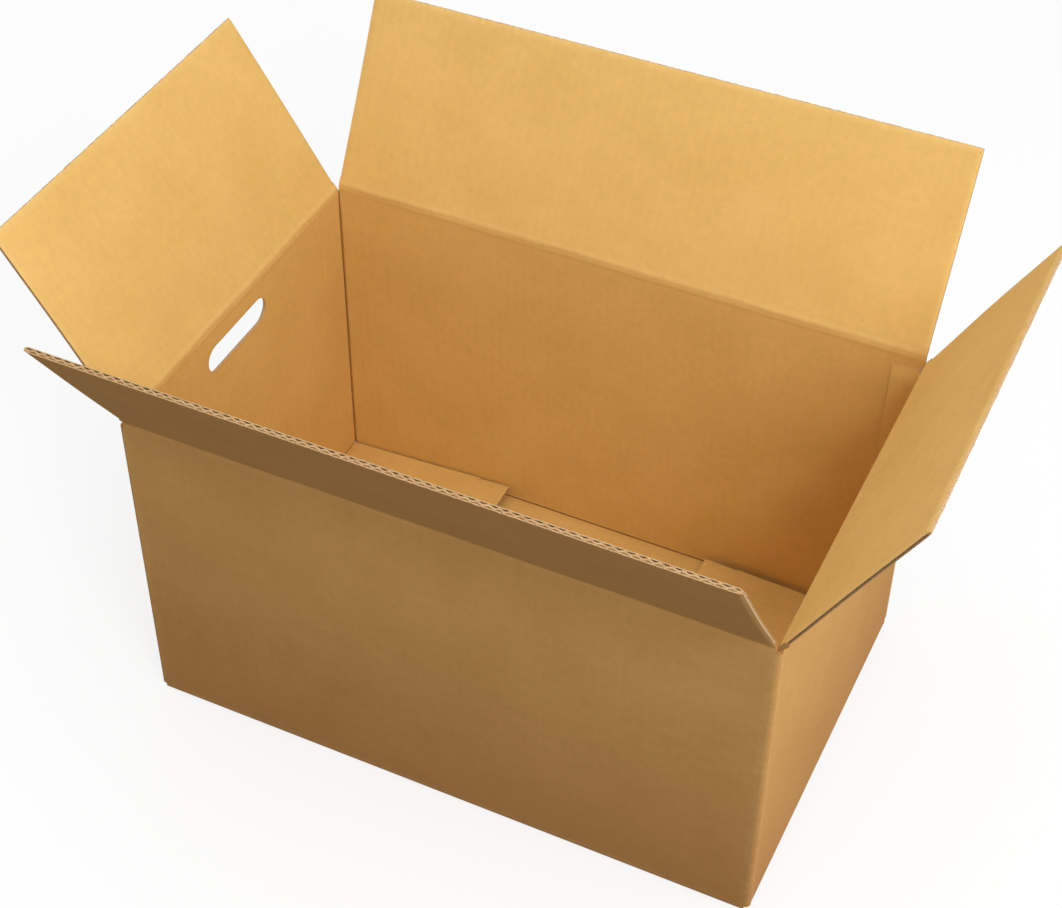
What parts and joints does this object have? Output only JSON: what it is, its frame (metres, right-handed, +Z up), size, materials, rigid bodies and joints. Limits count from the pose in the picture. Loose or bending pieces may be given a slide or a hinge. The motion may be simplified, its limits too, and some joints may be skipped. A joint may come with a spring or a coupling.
{
  "type": "moving box",
  "caption": "Open-topped corrugated cardboard moving box with hand holes and hinged top flaps, for packing and carrying household goods.",
  "frame": {"origin": "on the floor at the centre of the box's base", "axes": "+X along the long side, +Y towards the back, +Z up"},
  "size_m": [0.7983, 0.5717, 0.5109],
  "materials": {
    "kraft_board": "matte kraft liner on corrugated board",
    "packing_tape": "smooth brown packing tape"
  },
  "bodies": {
    "box": {"box_body": "kraft_board", "bottom_tape": "packing_tape"},
    "front_flap": {"top_flap_front": "kraft_board"},
    "back_flap": {"top_flap_back": "kraft_board"},
    "left_flap": {"top_flap_left": "kraft_board"},
    "right_flap": {"top_flap_right": "kraft_board"}
  },
  "joints": [
    {"name": "front_flap_fold", "type": "hinge", "parent": "box", "child": "front_flap", "pos_m": [0, -0.1887, 0.344], "axis": [-1, 0, 0], "range_deg": [-122, 123]},
    {"name": "back_flap_fold", "type": "hinge", "parent": "box", "child": "back_flap", "pos_m": [0, 0.1887, 0.344], "axis": [1, 0, 0], "range_deg": [-126.5, 118.5]},
    {"name": "left_flap_fold", "type": "hinge", "parent": "box", "child": "left_flap", "pos_m": [-0.2987, 0, 0.3387], "axis": [0, 1, 0], "range_deg": [-122.6, 122.4]},
    {"name": "right_flap_fold", "type": "hinge", "parent": "box", "child": "right_flap", "pos_m": [0.2987, 0, 0.3387], "axis": [0, -1, 0], "range_deg": [-125.5, 119.5]}
  ]
}
